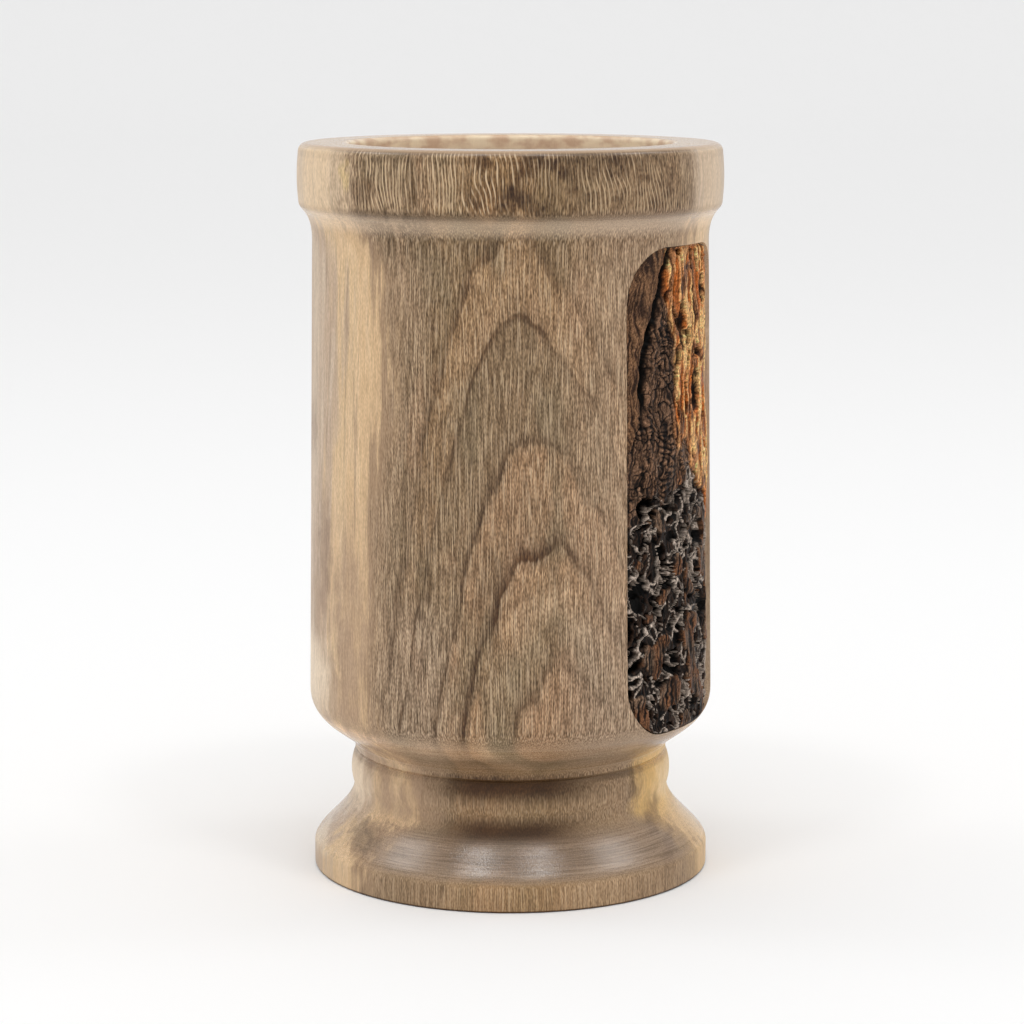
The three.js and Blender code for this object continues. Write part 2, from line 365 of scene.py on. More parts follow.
def scattered_cells(x, y, seed):
    """For cells round scattered points: how far border and point are, and a number for the cell."""
    random = np.random.default_rng(seed)
    jitter = random.uniform(0.1, 0.9, (CELL_REPEAT, CELL_REPEAT, 2))
    label = random.uniform(0, 1, (CELL_REPEAT, CELL_REPEAT))
    xi = np.floor(x).astype(int)
    yi = np.floor(y).astype(int)
    first = np.full(x.shape, 9.0)
    second = np.full(x.shape, 9.0)
    value = np.zeros_like(x)
    for i in (-1, 0, 1):
        for j in (-1, 0, 1):
            cx = (xi + i) % CELL_REPEAT
            cy = (yi + j) % CELL_REPEAT
            distance = np.hypot(xi + i + jitter[cx, cy, 0] - x, yi + j + jitter[cx, cy, 1] - y)
            nearer = distance < first
            second = np.where(nearer, first, np.minimum(second, distance))
            value = np.where(nearer, label[cx, cy], value)
            first = np.where(nearer, distance, first)
    return second - first, first, value


def ease(low, high, x):
    t = np.clip((x - low) / (high - low), 0, 1)
    return t * t * (3 - 2 * t)


def rgb(red, green, blue):
    """A colour as light, from the numbers from 0 to 255 that a screen shows it with."""
    shares = np.array([red, green, blue]) / 255
    return np.where(shares > 0.04045, ((shares + 0.055) / 1.055) ** 2.4, shares / 12.92)


# Roots carved along the panel, as shares of its width: where each starts from the middle, how far it
# leans and sways, the length of its wave as a share of the panel's height, the wave's turn, and its width
ROOTS = [
    (-0.39, 0.14, 0.045, 0.51, 2.6, 0.066),
    (-0.19, 0.08, 0.086, 0.65, 1.0, 0.078),
    (0.04, -0.18, 0.066, 0.42, 0.6, 0.061),
    (0.20, 0.05, 0.076, 0.57, 2.8, 0.083),
    (0.40, -0.09, 0.056, 0.48, 1.1, 0.068),
]

# Round pits in rows over the panel's lower part, in millimetres. Each row is moved by half a spacing
# from the one under it, and the pits wander from their places and differ in size.
PIT_SPACING = 10.5
PIT_RISE = 8.2
PIT_RADIUS = 2.5
PIT_DEPTH = 1.9
PIT_WANDER = 2.1
PITTED_SHARE = 0.55

# Long hollows in the upper part: place, half width and half height, as shares of the panel's sizes
LONG_HOLLOW_DEPTH = 1.6
LONG_HOLLOWS = [
    (-0.02, 0.84, 0.055, 0.055),
    (0.15, 0.70, 0.050, 0.050),
    (0.27, 0.90, 0.045, 0.045),
]

# The groove beside the plain strip at the upper left: its depth and width in millimetres, and where it
# runs, as shares of the panel's width and height
GROOVE_DEPTH = 1.6
GROOVE_WIDTH = 1.15
GROOVE_START = -0.39
GROOVE_BEND = 0.25
GROOVE_FOOT = 0.62

# How low and how high the carving goes, in millimetres over the panel's face
LOWEST_CARVING = -2.3
HIGHEST_CARVING = 1.05

# Thin strands that wind over the pits: how wide and high their loops are in millimetres, half their width
# as a share of that, how high they lie, and how much of the carving is free of them
STRANDS = [
    (6.5, 5.2, 0.036, -0.50, 0.44),
    (4.2, 5.5, 0.045, -0.40, 0.52),
    (8.0, 7.0, 0.028, -0.20, 0.48),
]


def root_relief(across, up):
    """How far the main roots stand up, from 0 to 1."""
    share = (up - PANEL_BOTTOM) / PANEL_HEIGHT
    relief = np.zeros_like(across)
    for start, lean, sway, wave, turn, width in ROOTS:
        centre = start + lean * share + sway * np.sin(2 * math.pi * share / wave + turn)
        relief = np.maximum(relief, np.exp(-(((across / PANEL_WIDTH - centre) / width) ** 2)))
    return relief


def mixed(first, second, share):
    share = np.asarray(share)
    if np.ndim(second) > np.ndim(share) or np.shape(second) == (3,):
        share = share[..., None]
    return first * (1 - share) + second * share


def softened(field, rounds):
    """A field averaged with its neighbours a number of times."""
    for _ in range(rounds):
        padded = np.pad(field, 1, mode="edge")
        field = (padded[:-2, 1:-1] + padded[2:, 1:-1] + padded[1:-1, :-2] + padded[1:-1, 2:] + field) / 5
    return field


def bowl(distance):
    """A smooth bowl, from 1 in its middle to 0 at a distance of 1."""
    return np.sqrt(np.clip(1 - distance**2, 0, 1))


def pit_relief(x, z):
    """How deep a place lies in one of the main pits, from 0 to 1."""
    columns = math.ceil(PANEL_WIDTH / MM / 2 / PIT_SPACING)
    rows = math.ceil(PITTED_SHARE * PANEL_HEIGHT / MM / PIT_RISE) - 1
    deepest = np.zeros_like(x)
    for row in range(rows):
        for i in range(-columns, columns + 1):
            middle_x = (i + (row % 2) / 2) * PIT_SPACING + PIT_WANDER * math.sin(2.3 * row + 1.9 * i)
            rise = (row + 1) * PIT_RISE + PIT_WANDER * math.sin(1.7 * row + 2.6 * i)
            radius = PIT_RADIUS * (1 + 0.3 * math.sin(3.1 * row + 1.3 * i))
            away = np.hypot(x - middle_x, z - PANEL_BOTTOM / MM - rise) / radius
            deepest = np.maximum(deepest, bowl(away))
    return deepest


def long_hollow_relief(x, share):
    """How deep a place lies in one of the long hollows, from 0 to 1."""
    deepest = np.zeros_like(x)
    for across, up, width, height in LONG_HOLLOWS:
        away = np.hypot((x * MM / PANEL_WIDTH - across) / width, (share - up) / height)
        deepest = np.maximum(deepest, bowl(away))
    return deepest


def small_holes(x, z):
    """Holes smaller than the main pits, from 0 to 1, and how far each place is from a wall between them."""
    walls, away, size = scattered_cells(x / 4.2 + 9, z / 3.7 + 3, 7)
    reach = 0.62 * size - 0.12
    large = 1 - ease(reach - 0.05, reach + 0.03, away)
    _, away, size = scattered_cells(x / 2.3 + 5, z / 2.1 + 8, 9)
    reach = 0.58 * size - 0.13
    small = 1 - ease(reach - 0.08, reach + 0.05, away)
    return np.maximum(large, 0.85 * small), walls


def bark_relief(x, z, fibre, lumps, roots):
    """The upper part: bark with wrinkles across it, and cracks, and how strongly painted shade darkens the
    cracks and the wrinkles' hollows.
    """
    border, _, _ = scattered_cells(x / 3.0 + 20, z / 2.2 + 7, 5)
    crack = (1 - ease(0.0, 0.16, border)) * ease(-0.3, 0.2, gradient_noise(x / 6, z / 7, 95))
    bend = z + 0.35 * x + 2.4 * gradient_noise(x / 5, z / 5, 33)
    wrinkle = np.sin(2 * math.pi * bend / 1.35) * ease(-0.3, 0.3, gradient_noise(x / 5, z / 8, 97))
    height = -0.2 + 0.40 * lumps + 0.10 * fibre + 0.16 * wrinkle - 0.35 * crack + 0.6 * roots
    return height, np.maximum(crack, 0.8 * ease(0.1, 0.8, -wrinkle))


def net_relief(x, z, fibre, lumps, roots, pit):
    """The lower part: plates of wood, pits and holes between them, strands that wind over them, and the
    painted shade that blackens the pits and holes.
    """
    plate = ease(0.24, 0.32, gradient_noise(x / 6.5 + 2, z / 8, 95) + 0.25 * roots) * (pit < 0.02)
    hole, walls = small_holes(x, z)
    hole = hole * (1 - plate)
    low = -0.40 + 0.30 * lumps + 0.12 * fibre + 0.4 * roots - 0.9 * hole
    height = mixed(low, 0.05 + 0.28 * lumps + 0.12 * fibre + 0.5 * roots, plate)
    height = height - PIT_DEPTH * pit
    strand = np.zeros_like(x)
    present = ease(0.0, 0.3, gradient_noise(x / 5, z / 6, 141))
    ridges = [(np.sqrt(np.clip(1 - (walls / 0.075) ** 2, 0, 1)) * present, -0.45)]
    for number, (loop_x, loop_z, width, level, free) in enumerate(STRANDS):
        field = layered_noise(x / loop_x + 3, z / loop_z, 101 + number * 10, 2)
        present = ease(free, free + 0.12, gradient_noise(x / 7, z / 9, 151 + number) + 0.5)
        ridges.append((np.sqrt(np.clip(1 - (field / width) ** 2, 0, 1)) * present, level))
    for ridge, level in ridges:
        ridge = ridge * (1 - plate)
        top = level + 0.35 * ridge + 0.25 * lumps + 0.4 * roots
        over = (ridge > 0.05) & (top > height)
        strand = np.where(over, ridge, strand)
        height = np.where(over, top, height)
    # Painted shade: the pits and holes are painted black where no strand lies over them.
    dark = np.maximum(ease(0.15, 0.45, pit), hole) * (strand < 0.05)
    return height, strand, plate, dark


def panel_zones(x, z, share, warped_x):
    """How far a place belongs to the netted part, the golden part, the plain strip and the groove."""
    wander = gradient_noise(x / 5, z / 9, 13)
    netted = 1 - ease(0.52, 0.58, share + 0.06 * wander - 0.004 * x)
    gold_low = 0.56 - 0.009 * x + 0.10 * wander
    gold = ease(gold_low, gold_low + 0.05, share) * ease(-7.5, -5.5, warped_x - 2.5 * np.sin(z / 8))
    rise = np.clip((share - GROOVE_FOOT) / (1 - GROOVE_FOOT), 0, 1)
    seam = PANEL_WIDTH / MM * (GROOVE_START + GROOVE_BEND * rise**2)
    seam = seam + 0.4 * np.sin(z / 4 + 0.7) + 0.5 * gradient_noise(z / 3, x * 0, 17)
    strip_end = seam - 0.9 - 5 * ease(0.66, 0.50, share) + 2.5 * ease(0.28, 0.12, share)
    strip = 1 - ease(-0.4, 0.2, x - strip_end)
    groove = np.exp(-(((x - seam) / (0.8 * GROOVE_WIDTH)) ** 2)) * np.clip(4 * rise, 0, 1)
    return netted, gold, strip, groove


def net_colour(x, z, fibre_share, plate, strand):
    """Dark netting and browner plates, with pale strands over them, whose paleness is partly a painted
    highlight on their tops.
    """
    patch = ease(-0.3, 0.3, layered_noise(x / 4, z / 6, 201, 2))
    netting = mixed(rgb(8, 5, 4), rgb(56, 40, 30), fibre_share)
    plates = mixed(rgb(22, 15, 11), mixed(rgb(128, 86, 58), rgb(126, 100, 80), patch), fibre_share)
    # The strands' near-white is partly a painted highlight.
    return mixed(mixed(netting, plates, plate), rgb(206, 188, 172), 0.85 * strand)


def golden_colour(x, warped_x, warped_z, fibre, flutes):
    """Orange and golden flutes, with duller brown patches."""
    orange = mixed(rgb(194, 110, 52), rgb(252, 194, 128), ease(-0.3, 0.35, flutes + 0.45 * fibre))
    brown = mixed(rgb(86, 50, 30), rgb(194, 134, 88), ease(-0.4, 0.4, fibre))
    dull = ease(-0.05, 0.30, layered_noise(warped_x / 3.2 + 4, warped_z / 8, 171, 2) - 0.02 * x)
    return mixed(orange, brown, dull)


def light_share(height, strip):
    """How much light reaches a place: little in the deep places, and most on what stands up."""
    fine_curve = height - softened(height, 4)
    wide_curve = height - softened(height, 30)
    lit_share = ease(-0.12, 0.07, fine_curve) * ease(-0.7, 0.2, wide_curve)
    return 0.06 + 0.94 * mixed(lit_share, 0.7 + 0.3 * lit_share, strip)


def relief(across, up):
    """The carving's height over the panel's face in millimetres, and its colour at each place."""
    x = across / MM
    z = up / MM
    share = (up - PANEL_BOTTOM) / PANEL_HEIGHT
    warped_x = x + 1.7 * layered_noise(x / 8, z / 13, 11, 2) + 0.35 * gradient_noise(x / 1.6, z / 1.6, 15)
    warped_z = z + 2.2 * layered_noise(x / 8, z / 13, 31, 2) + 0.35 * gradient_noise(x / 1.6, z / 1.6, 35)
    ragged_x = x + 0.5 * gradient_noise(x / 2, z / 2, 221)
    ragged_z = z + 0.5 * gradient_noise(x / 2, z / 2, 223)
    from_side = PANEL_WIDTH / 2 / MM - np.abs(x)
    edge = np.minimum(from_side, np.minimum(share, 1 - share) * PANEL_HEIGHT / MM)
    roots = root_relief(across, up)
    netted, gold, strip, groove = panel_zones(x, z, share, warped_x)

    fibre = layered_noise(warped_x / 0.55, warped_z / 7, 71, 3)
    lumps = layered_noise(warped_x / 3.0, warped_z / 4.5, 41, 3)
    flutes = layered_noise(warped_x / 2.2, warped_z / 14, 121, 3)
    hollow = ease(0.26, 0.42, layered_noise(warped_x / 2.4, warped_z / 7, 131, 2))
    pit = pit_relief(ragged_x, ragged_z)
    long_hollow = long_hollow_relief(ragged_x, share)
    bark, crack = bark_relief(warped_x, warped_z, fibre, lumps, roots)
    net, strand, plate, dark = net_relief(warped_x, warped_z, fibre, lumps, roots, pit)
    golden = 0.1 + 0.4 * flutes + 0.6 * roots - 1.2 * hollow
    height = mixed(mixed(bark, net, netted), golden, gold) - LONG_HOLLOW_DEPTH * long_hollow
    height = mixed(height, 0.06 * fibre + 0.05, strip)
    height = np.clip(height - GROOVE_DEPTH * groove, LOWEST_CARVING, HIGHEST_CARVING) * ease(0.1, 1.0, edge)

    # Colour: painted shade, black in the deep places and the cracks, and painted light, paler on what
    # stands up
    fibre_share = ease(-0.45, 0.45, fibre)
    # Painted shade: the cracks and the wrinkles' hollows are painted nearly black.
    above = mixed(mixed(rgb(40, 26, 19), rgb(136, 102, 78), fibre_share), rgb(14, 9, 7), 0.85 * crack)
    colour = mixed(above, net_colour(x, z, fibre_share, plate, strand), netted)
    colour = mixed(colour, golden_colour(x, warped_x, warped_z, fibre, flutes), gold)
    colour = mixed(colour, mixed(rgb(50, 32, 22), rgb(132, 96, 68), fibre_share), strip)
    speck = gradient_noise(x / 0.42, z / 0.42, 211)
    colour = colour * (1 + 0.8 * speck)[..., None] * light_share(height, strip)[..., None]
    # Painted shade: the pits, holes, long hollows and groove are painted nearly black.
    dark = np.maximum(dark * netted * (1 - gold), 0.9 * ease(0.3, 0.8, long_hollow)) * (1 - strip)
    dark = np.maximum(dark, 0.97 * ease(0.25, 0.7, groove))
    return height, mixed(np.clip(colour, 0, 0.9), rgb(4, 3, 2), 0.97 * dark)


def make_panel():
    across, up = rounded_grid(0, RELIEF_COLUMNS, RELIEF_ROWS)
    height, colour = relief(across, up)
    face = wall_radius(up) - PANEL_RECESS
    back = face - PANEL_THICKNESS
    share = RELIEF_COLUMNS // BACK_COLUMNS
    panel = bent_slab("relief_panel_carved", across, up, back, face + height * MM, share)
    painted = np.concatenate([colour[:, ::share].reshape(-1, 3), colour.reshape(-1, 3)])
    painted = np.hstack([painted, np.ones((len(painted), 1))])
    attribute = panel.data.attributes.new("paint", "FLOAT_COLOR", "POINT")
    attribute.data.foreach_set("color", painted.astype(np.float32).ravel())
    smooth(panel, RELIEF_SHARP_ANGLE)
    return panel


# Material helpers. A node goes into the same node tree as the outputs that it takes.


def put(socket, value):
    """Links an output to a socket, or sets the socket to a plain value."""
    if isinstance(value, bpy.types.NodeSocket):
        socket.id_data.links.new(value, socket)
    elif value is not None:
        socket.default_value = value


def new_node(kind, *values, **settings):
    """A node with its settings and its inputs, at least one of which is another node's output."""
    tree = next(value.id_data for value in values if isinstance(value, bpy.types.NodeSocket))
    node = tree.nodes.new(kind)
    for name, setting in settings.items():
        setattr(node, name, setting)
    for socket, value in zip(node.inputs, values):
        put(socket, value)
    return node


def calculate(operation, *values):
    return new_node("ShaderNodeMath", *values, operation=operation).outputs[0]


def vector_math(operation, *values):
    return new_node("ShaderNodeVectorMath", *values, operation=operation).outputs


def chained(operation, values):
    """One operation between all the values, from the first to the last."""
    result = values[0]
    for value in values[1:]:
        result = calculate(operation, result, value)
    return result


def times(*values):
    return chained("MULTIPLY", values)


def plus(*values):
    return chained("ADD", values)


def largest(*values):
    return chained("MAXIMUM", values)


def minus(value, less):
    return calculate("SUBTRACT", value, less)


def times_plus(value, factor, more):
    return calculate("MULTIPLY_ADD", value, factor, more)


def magnitude(value):
    return calculate("ABSOLUTE", value)


def noise(vector, size, detail=2.0, roughness=0.5, colour=False):
    """Noise whose features have about the given size in each direction, in the vector's units."""
    shrunk = vector_math("MULTIPLY", vector, [1 / s for s in size])[0]
    node = new_node("ShaderNodeTexNoise", shrunk, None, 1, detail, roughness)
    return node.outputs["Color" if colour else "Fac"]


def between(value, low, high, to_low=0.0, to_high=1.0, linear=False):
    """Maps a value from one range to another, smoothly or in a straight line, and clamped."""
    kind = "LINEAR" if linear else "SMOOTHSTEP"
    node = new_node("ShaderNodeMapRange", value, low, high, to_low, to_high, interpolation_type=kind)
    return node.outputs[0]


def blended(share, first, second, kind="MIX"):
    node = new_node("ShaderNodeMix", share, data_type="RGBA", blend_type=kind)
    colours = [socket for socket in node.inputs if socket.type == "RGBA"]
    for socket, value in zip(colours, (first, second)):
        put(socket, (*value, 1) if isinstance(value, tuple) else value)
    return next(socket for socket in node.outputs if socket.type == "RGBA")


def layered(colour, *layers, kind="MIX"):
    """A colour with others laid over it one after another, each by its own share."""
    for share, over in layers:
        colour = blended(share, colour, over, kind)
    return colour


def brightened(colour, factor):
    return vector_math("SCALE", colour, None, None, factor)[0]


def shade(red, green, blue):
    """A screen colour as a plain tuple of light."""
    return tuple(rgb(red, green, blue))


def toned(value, value_range, table):
    """A colour for each value within a range, from a table of values and screen colours."""
    low, high = value_range
    stops = [((place - low) / (high - low), (*shade(*colour), 1)) for place, colour in table]
    node = new_node("ShaderNodeValToRGB", between(value, low, high, linear=True))
    elements = node.color_ramp.elements
    for element, (place, colour) in zip(elements, stops[:2]):
        element.position = place
        element.color = colour
    for place, colour in stops[2:]:
        elements.new(place).color = colour
    return node.outputs[0]


def new_material(name):
    material = bpy.data.materials.new(name)
    material.use_nodes = True
    tree = material.node_tree
    return material, tree, tree.nodes["Principled BSDF"].inputs


def bumped(inputs, height, distance, strength):
    node = new_node("ShaderNodeBump", strength, distance, None, height)
    put(inputs["Normal"], node.outputs[0])


# The billet, in its own millimetres: x to the side, y away from the log's heart, z up. The rings' own
# centre leans to the side as it rises. A ring's size is its distance from there and a share of the height.
BILLET_TURN = math.radians(60)
RING_CENTRE = (25.7, -68.3)
RING_LEAN = -0.18
RING_TAPER = 0.31
SAP_CENTRE = (9.6, -68.3)

# Heights of the turned forms that the wood's colours, painted light and painted shade follow, and the gap
# between the pale lines of the rim's band and the radius that they are drawn at, in the billet's
# millimetres
RIM_TOP = 158.0
RIM_CREASE = 146.6
COVE_MIDDLE = 144.3
SHOULDER_MIDDLE = 34.0
FOOT_CREASE = 25.4
BEAD_TOP = 24.8
WAIST_MIDDLE = 15.4
BELL_MIDDLE = 10.5
RIM_LINE_GAP = 0.90
RIM_LINE_RADIUS = 46

# Dark lines at the ends of years: the ring's size, how strongly it shows, and how far it fades in and out
RING_LINES = [
    (42.0, 0.50, 0.3, 1.2),
    (49.6, 1.00, 0.3, 1.3),
    (55.9, 0.75, 0.3, 1.0),
    (63.8, 0.80, 0.7, 0.3),
    (68.7, 0.60, 0.3, 1.8),
]
RING_LINE_TINT = (0.28, 0.19, 0.11)

# The heartwood's colours from ring to ring
RING_TONES = [
    (36.0, (140, 114, 84)),
    (41.0, (158, 126, 94)),
    (42.2, (140, 116, 87)),
    (44.6, (142, 120, 91)),
    (46.2, (170, 142, 110)),
    (48.6, (164, 132, 98)),
    (49.4, (136, 111, 83)),
    (54.9, (162, 130, 97)),
    (55.9, (135, 111, 83)),
    (60.0, (139, 116, 87)),
    (63.4, (134, 110, 81)),
    (64.4, (158, 129, 96)),
    (68.2, (157, 127, 92)),
    (69.4, (131, 107, 76)),
    (74.0, (146, 120, 88)),
    (82.0, (130, 107, 78)),
]
RING_RANGE = (34, 90)

# The sapwood's colours by depth from the heartwood
SAP_TONES = [
    (0.0, (166, 137, 107)),
    (3.6, (208, 176, 137)),
    (8.0, (216, 183, 141)),
    (11.0, (222, 191, 152)),
    (13.5, (217, 186, 144)),
    (17.0, (205, 178, 146)),
    (21.5, (192, 166, 140)),
    (27.0, (208, 187, 162)),
    (34.0, (190, 164, 136)),
    (48.0, (212, 184, 148)),
]
SAP_RANGE = (0, 50)

# Marks in the wood, and painted highlights along the left edge: how far to the side and up, half width and
# half height, strength, and the colour that it tends to
MARKS_AND_HIGHLIGHTS = [
    ((-0.5, 149.6), (4.8, 3.8), 0.75, (84, 60, 36)),
    ((-30.5, 151.5), (4.0, 3.5), 0.55, (98, 72, 44)),
    ((-20.0, 153.0), (3.0, 4.0), 0.40, (100, 76, 48)),
    ((17.0, 157.5), (16.0, 4.5), 0.50, (92, 66, 40)),
    ((-34.5, 154.5), (1.4, 3.0), 0.60, (214, 188, 132)),
    # Painted highlight along the body's left edge.
    ((-44.0, 45.0), (7.0, 12.0), 0.75, (242, 222, 194)),
    ((-40.0, 74.0), (2.0, 17.0), 0.55, (138, 110, 88)),
    ((-42.5, 98.0), (1.3, 8.0), 0.50, (146, 118, 98)),
    ((26.6, 23.0), (1.6, 5.5), 0.65, (90, 64, 38)),
    ((31.0, 15.0), (2.2, 5.5), 0.55, (104, 76, 48)),
    ((34.5, 8.5), (1.8, 5.0), 0.50, (112, 84, 58)),
    ((-33.8, 16.4), (1.3, 1.2), 0.80, (104, 76, 52)),
    ((-33.5, 62.0), (3.6, 15.0), 0.60, (176, 147, 119)),
    # Painted highlight along the body's left edge.
    ((-45.0, 76.0), (2.4, 18.0), 0.45, (236, 216, 196)),
    ((-33.0, 7.5), (2.0, 4.5), 0.45, (126, 98, 72)),
    ((-4.5, 71.0), (6.0, 9.0), 0.35, (108, 88, 64)),
    ((-30.5, 12.5), (3.0, 2.6), 0.50, (116, 92, 72)),
    ((-31.5, 10.5), (4.6, 3.0), 0.60, (108, 90, 70)),
    # Painted highlight along the bead's left edge.
    ((-35.0, 20.5), (5.5, 7.5), 0.80, (244, 222, 192)),
    # Painted highlight along the bell's left edge.
    ((-42.5, 7.5), (3.4, 4.0), 0.50, (240, 220, 190)),
    ((35.5, 21.0), (4.5, 7.0), 0.50, (242, 218, 178)),
]


def billet_place(tree):
    """The place in the billet, in millimetres."""
    coordinates = tree.nodes.new("ShaderNodeTexCoord")
    turn = (0, 0, BILLET_TURN)
    node = new_node("ShaderNodeMapping", coordinates.outputs["Object"], None, turn, [1 / MM] * 3)
    return node.outputs[0]


def moved(vector, offset, amount):
    """A vector moved by an amount times an offset colour, whose middle is 0.5."""
    centred = vector_math("SUBTRACT", offset, (0.5, 0.5, 0.5))[0]
    return vector_math("MULTIPLY_ADD", centred, amount, vector)[0]


def split(vector):
    return new_node("ShaderNodeSeparateXYZ", vector).outputs


def together(x, y, z):
    return new_node("ShaderNodeCombineXYZ", x, y, z).outputs[0]


def distance_from(place, centre):
    """How far a place is from an upright line."""
    x, y, _ = split(place)
    flat = together(minus(x, centre[0]), minus(y, centre[1]), 0)
    return vector_math("LENGTH", flat)["Value"]


def slant(tree):
    """How much a surface faces up, from -1 to 1."""
    coordinates = tree.nodes.new("ShaderNodeTexCoord")
    return split(coordinates.outputs["Normal"])[2]


def crease(height, middle, reach, strength):
    """How strongly something shows along a ring at one height, fading away above and below it."""
    return between(magnitude(minus(height, middle)), 0.3, reach, strength, 0)


def ring_size(at, ragged):
    """The size of the ring through a place, with a wander and a ragged edge."""
    upright = together(times_plus(at.height, -RING_LEAN, at.x), at.y, at.height)
    ring = times_plus(at.height, RING_TAPER, distance_from(upright, RING_CENTRE))
    ring = times_plus(ragged, 0.6, ring)
    wander = minus(noise(at.place, (6, 6, 18), detail=1), 0.5)
    return times_plus(wander, 3.6, ring)


def sap_depth(at, ragged):
    """How deep a place lies in the sapwood. In the heartwood it is below 0."""
    # The heartwood reaches further on the left at the rim and low down, and on the right at the foot
    ends = plus(
        between(at.height, 131, 149, -0.1, 1),
        between(at.height, 34, 26, 0, -0.5),
        between(at.height, 17, 11, 0, 0.7),
        between(at.height, 104, 66, 0, 0.45),
    )
    left_reach = times_plus(ends, 11.0, 48.8)
    right_reach = between(at.height, 17, 9, 51.6, 60.0)
    right_more = minus(right_reach, left_reach)
    reach = times_plus(between(at.x, -6, 6), right_more, left_reach)
    wave = minus(noise(at.place, (7, 7, 26), detail=2), 0.5)
    depth = minus(distance_from(at.drifted, SAP_CENTRE), reach)
    depth = times_plus(wave, 12, depth)
    return times_plus(ragged, 4.0, depth)


def wood_places(tree):
    """Where each place lies in the billet and on the goblet, and shares that its colours need."""
    place = billet_place(tree)
    x, y, height = split(place)
    upward = slant(tree)
    steepness = magnitude(upward)
    at = SimpleNamespace(place=place, x=x, y=y, height=height, upward=upward)
    at.radius = distance_from(place, (0, 0))
    at.drifted = moved(place, noise(place, (24, 24, 60), detail=1, colour=True), (5, 5, 0))
    ragged = minus(noise(place, (0.40, 0.40, 4), detail=2), 0.5)
    at.ring = ring_size(at, ragged)
    at.depth = sap_depth(at, ragged)
    at.sap = between(at.depth, -5.5, 2.8)
    at.heart = minus(1.0, at.sap)
    at.cut_across = between(steepness, 0.15, 0.5)
    at.slope = between(steepness, 0.35, 0.8)
    at.outside = between(at.radius, 38, 41)
    at.edge = times(between(height, 6.6, 5.6), at.outside)
    at.land = times(between(height, 159.2, 159.8), at.slope)
    return at


def heart_colour(at):
    """Heartwood: a tone for each ring, greyer to one side."""
    streak = noise(at.place, (1.8, 1.8, 40), detail=2)
    streaked = blended(between(streak, 0.42, 0.58), shade(104, 82, 56), shade(152, 128, 100))
    patch = noise(at.place, (8, 8, 24), detail=2)
    paler = times(between(at.x, -9, -17, 0, 0.5), between(at.height, 70, 58))
    greyed = times(between(at.x, 8, 18, 0, 0.45), between(at.height, 70, 55))
    return layered(
        toned(at.ring, RING_RANGE, RING_TONES),
        (between(at.x, -11, -21, 0, 0.7), streaked),
        (between(patch, 0.52, 0.68, 0, 0.45), shade(166, 133, 102)),
        (between(patch, 0.46, 0.32, 0, 0.5), shade(120, 104, 78)),
        (between(at.x, 6, 24, 0, 0.6), shade(174, 146, 118)),
        (paler, shade(172, 150, 126)),
        (greyed, shade(154, 135, 114)),
        (between(at.height, 33, 27, 0, 0.45), shade(156, 124, 84)),
        (between(at.depth, -10, -1, 0, 0.6), shade(160, 136, 108)),
    )


def sap_colour(at):
    """Sapwood: golden next to the heartwood, then tan and grey by turns in upright streaks."""
    x, y, height = split(at.drifted)
    streak = minus(noise(at.drifted, (2.4, 2.4, 42), detail=3, roughness=0.6), 0.5)
    grey = noise(at.drifted, (1.6, 1.6, 30), detail=2)
    mottle = noise(at.drifted, (4, 4, 11), detail=3)
    tanned = times(
        between(height, 92, 62),
        between(height, 13, 18),
        between(mottle, 0.34, 0.62, 0.1, 0.9),
        between(y, 18, -4, 0.3, 1.0),
    )
    pale = blended(between(x, -10, 10), shade(234, 212, 182), shade(204, 188, 170))
    gilded = times(
        between(height, 32, 27, 0, 0.68),
        between(x, 20, 26),
        between(height, 10, 18, 0.35, 1.0),
        between(y, 10, -6, 0.3, 1.0),
    )
    return layered(
        toned(times_plus(streak, 26, at.depth), SAP_RANGE, SAP_TONES),
        (between(grey, 0.56, 0.70, 0, 0.5), shade(150, 124, 102)),
        (tanned, shade(174, 145, 117)),
        (between(height, 142, 149, 0, 0.5), pale),
        (gilded, shade(232, 188, 106)),
    )


def marked_and_highlighted(at, colour):
    """A colour with the marks and the painted highlights laid over it. They go a little way into the wood
    from its near side.
    """
    drift = noise(at.place, (2.6, 2.6, 5), detail=3, colour=True)
    x, y, height = split(moved(at.place, drift, (5, 0, 7)))
    near = between(y, 2, -6)
    for (side, up), (half_width, half_height), strength, patch_colour in MARKS_AND_HIGHLIGHTS:
        away_x = times_plus(x, 1 / half_width, -side / half_width)
        away_z = times_plus(height, 1 / half_height, -up / half_height)
        away = distance_from(together(away_x, away_z, 0), (0, 0))
        shown = times(between(away, 1.1, 0.3, 0, strength), near)
        colour = blended(shown, colour, shade(*patch_colour))
    return colour


def stroked(value, low, high, dark, light):
    """A tint for each value of a noise, from dark to light, to multiply a colour with."""
    return blended(between(value, low, high, linear=True), dark, light)


def fibre_strength(at):
    """How strongly fibres show: less in sapwood, where they are cut across, on the bead and at the edge."""
    bead = times(between(at.height, 27, 25), between(at.height, 12, 14))
    return times(
        times_plus(at.sap, -0.72, 1.0),
        times_plus(at.cut_across, -0.55, 1.0),
        times_plus(bead, -0.38, 1.0),
        times_plus(at.edge, -0.38, 1.0),
    )


